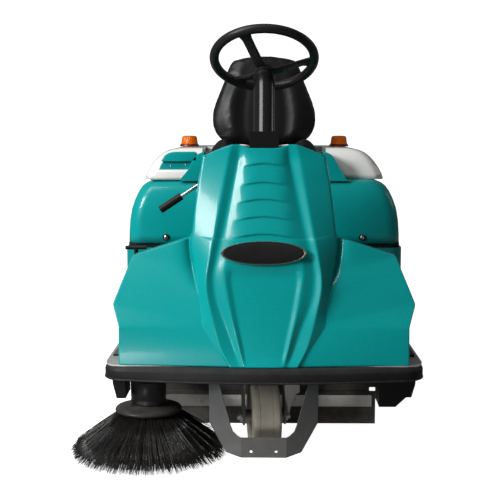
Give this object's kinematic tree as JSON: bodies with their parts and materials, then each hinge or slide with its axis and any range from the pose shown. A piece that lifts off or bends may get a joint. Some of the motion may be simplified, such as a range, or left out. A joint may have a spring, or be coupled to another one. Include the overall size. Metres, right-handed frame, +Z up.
{
  "type": "ride-on floor sweeper",
  "caption": "Ride-on battery sweeper with a steered drive wheel, side brush, main brush, dirt hopper, tilting hood, sliding seat and warning beacons.",
  "frame": {"origin": "on the floor under the middle of the overall box", "axes": "+Z up, -Y is the driving direction, +Y towards the hopper, +X is the driver's left"},
  "size_m": [1.0839, 1.561, 1.3354],
  "materials": {
    "frame_paint": "satin powder coat",
    "plate_paint": "satin light grey paint",
    "mat_rubber": "ribbed matt rubber",
    "bumper_plastic": "fine-grained moulded plastic",
    "guard_paint": "charcoal powder coat",
    "zinc": "zinc plated",
    "teal_gloss": "gloss moulded shell",
    "teal_satin": "satin inner panel",
    "badge_black": "gloss plaque",
    "black_plastic": "satin moulded plastic",
    "column_paint": "gloss black paint",
    "bright_steel": "turned steel",
    "tyre_rubber": "worn solid rubber",
    "fork_paint": "warm grey paint",
    "hub_alloy": "cast",
    "brush_plastic": "moulded plastic",
    "bristle": "nylon bristle",
    "cover_gloss": "gloss moulded cover",
    "beacon_base": "dark red base",
    "beacon_amber": "amber lens",
    "seat_vinyl": "soft grained vinyl",
    "hopper_paint": "satin powder coat",
    "battery_case": "moulded case",
    "rubber_flap": "sheet rubber"
  },
  "bodies": {
    "chassis": {"chassis_frame": "frame_paint", "floor_plate": "plate_paint", "foot_mats": "mat_rubber", "front_bumper": "bumper_plastic", "front_guard": "guard_paint", "guard_bolts": "zinc", "corner_skirts": "black_plastic", "front_cowl": "teal_gloss", "cowl_inner_panel": "teal_satin", "badge": "badge_black", "column_collar": "black_plastic", "steering_column": "column_paint", "dash_panel": "black_plastic", "rear_axles": "bright_steel", "brush_housing": "frame_paint", "front_flap": "rubber_flap", "flap_strip": "zinc", "side_flaps": "rubber_flap", "lower_body": "teal_gloss", "hood_seal": "rubber_flap", "battery_pack": "battery_case", "filter_box": "black_plastic"},
    "steering": {"steering_wheel": "black_plastic", "steering_wheel_cap": "black_plastic", "steering_shaft": "bright_steel"},
    "fork": {"steering_fork": "fork_paint", "front_axle": "bright_steel"},
    "drive_wheel": {"front_tyre": "tyre_rubber", "front_wheel_hub": "hub_alloy"},
    "rear_wheel_right": {"rear_tyre_right": "tyre_rubber", "rear_hub_right": "hub_alloy"},
    "rear_wheel_left": {"rear_tyre_left": "tyre_rubber", "rear_hub_left": "hub_alloy"},
    "side_arm": {"side_brush_arm": "frame_paint", "side_brush_motor": "black_plastic"},
    "side_brush": {"side_brush_disc": "brush_plastic", "side_brush_bristles": "bristle"},
    "main_frame": {"main_brush_arms": "frame_paint"},
    "main_brush": {"main_brush_core": "brush_plastic", "main_brush_bristles": "bristle"},
    "hood": {"hood_shell": "teal_gloss", "hood_cover": "cover_gloss", "console_box": "teal_gloss", "hood_stop_bolts": "black_plastic", "hood_hinge_leaves": "frame_paint", "beacon_bases": "beacon_base", "beacon_lenses": "beacon_amber", "seat_rails": "zinc"},
    "seat": {"seat_pan": "frame_paint", "seat_cushion": "seat_vinyl", "seat_backrest": "seat_vinyl"},
    "hopper": {"hopper_bin": "hopper_paint"},
    "drive_pedal": {"drive_pedal": "black_plastic"},
    "brake_pedal": {"brake_pedal": "black_plastic"},
    "lift_lever": {"brush_lift_lever": "bright_steel", "lever_grip": "black_plastic"},
    "side_lever": {"side_brush_lever": "frame_paint"},
    "key": {"ignition_key": "bright_steel"},
    "horn": {"horn_button": "black_plastic"}
  },
  "joints": [
    {"name": "fork_steer", "type": "hinge", "parent": "chassis", "child": "fork", "pos_m": [0.058, -0.5, 0.284], "axis": [0, 0, 1], "range_deg": [-60, 60]},
    {"name": "steering_turn", "type": "hinge", "parent": "chassis", "child": "steering", "pos_m": [0.058, -0.345, 1.238], "axis": [0, 0.515, 0.8572], "range_deg": [-180, 180]},
    {"name": "drive_wheel_spin", "type": "hinge", "parent": "fork", "child": "drive_wheel", "pos_m": [0.058, -0.5, 0.11], "axis": [0.9925, 0.1219, 0], "continuous": true},
    {"name": "rear_wheel_right_spin", "type": "hinge", "parent": "chassis", "child": "rear_wheel_right", "pos_m": [0.496, 0.33, 0.125], "axis": [1, 0, 0], "continuous": true},
    {"name": "rear_wheel_left_spin", "type": "hinge", "parent": "chassis", "child": "rear_wheel_left", "pos_m": [-0.38, 0.33, 0.125], "axis": [1, 0, 0], "continuous": true},
    {"name": "side_brush_lift", "type": "hinge", "parent": "chassis", "child": "side_arm", "pos_m": [-0.302, -0.335, 0.24], "axis": [-1, 0, 0], "range_deg": [0, 5.5]},
    {"name": "side_brush_spin", "type": "hinge", "parent": "side_arm", "child": "side_brush", "pos_m": [-0.302, -0.545, 0.15], "axis": [0, 0, 1], "continuous": true},
    {"name": "main_brush_lift", "type": "hinge", "parent": "chassis", "child": "main_frame", "pos_m": [0.058, 0.06, 0.225], "axis": [-1, 0, 0], "range_deg": [0, 10]},
    {"name": "main_brush_spin", "type": "hinge", "parent": "main_frame", "child": "main_brush", "pos_m": [0.058, -0.055, 0.121], "axis": [1, 0, 0], "continuous": true},
    {"name": "hood_tilt", "type": "hinge", "parent": "chassis", "child": "hood", "pos_m": [0.058, 0.757, 0.613], "axis": [-1, 0, 0], "range_deg": [0, 60]},
    {"name": "seat_slide", "type": "slide", "parent": "hood", "child": "seat", "axis": [0, 1, 0], "range_m": [-0.04, 0.04]},
    {"name": "hopper_slide", "type": "slide", "parent": "chassis", "child": "hopper", "axis": [0, 1, 0], "range_m": [0, 0.5]},
    {"name": "drive_pedal_press", "type": "hinge", "parent": "chassis", "child": "drive_pedal", "pos_m": [-0.092, -0.405, 0.336], "axis": [1, 0, 0], "range_deg": [0, 18], "stiffness_Nm_per_rad": 3, "springref_deg": -20.05},
    {"name": "brake_pedal_press", "type": "hinge", "parent": "chassis", "child": "brake_pedal", "pos_m": [0.208, -0.405, 0.336], "axis": [1, 0, 0], "range_deg": [0, 18], "stiffness_Nm_per_rad": 4, "springref_deg": -20.05},
    {"name": "lift_lever_turn", "type": "hinge", "parent": "chassis", "child": "lift_lever", "pos_m": [-0.092, -0.492, 0.878], "axis": [0, 1, 0], "range_deg": [0, 40]},
    {"name": "side_lever_turn", "type": "hinge", "parent": "chassis", "child": "side_lever", "pos_m": [-0.38, -0.185, 0.34], "axis": [1, 0, 0], "range_deg": [0, 22]},
    {"name": "key_turn", "type": "hinge", "parent": "chassis", "child": "key", "pos_m": [0.118, -0.43, 0.925], "axis": [0, 1, 0], "range_deg": [0, 60]},
    {"name": "horn_press", "type": "slide", "parent": "chassis", "child": "horn", "axis": [0, -1, 0], "range_m": [0, 0.005], "stiffness_N_per_m": 600, "springref_m": -0.002}
  ],
  "couplings": [
    {"joint": "steering_turn", "follows": "fork_steer", "ratio": 3},
    {"joint": "lift_lever_turn", "follows": "main_brush_lift", "ratio": 4},
    {"joint": "side_lever_turn", "follows": "side_brush_lift", "ratio": 4}
  ]
}
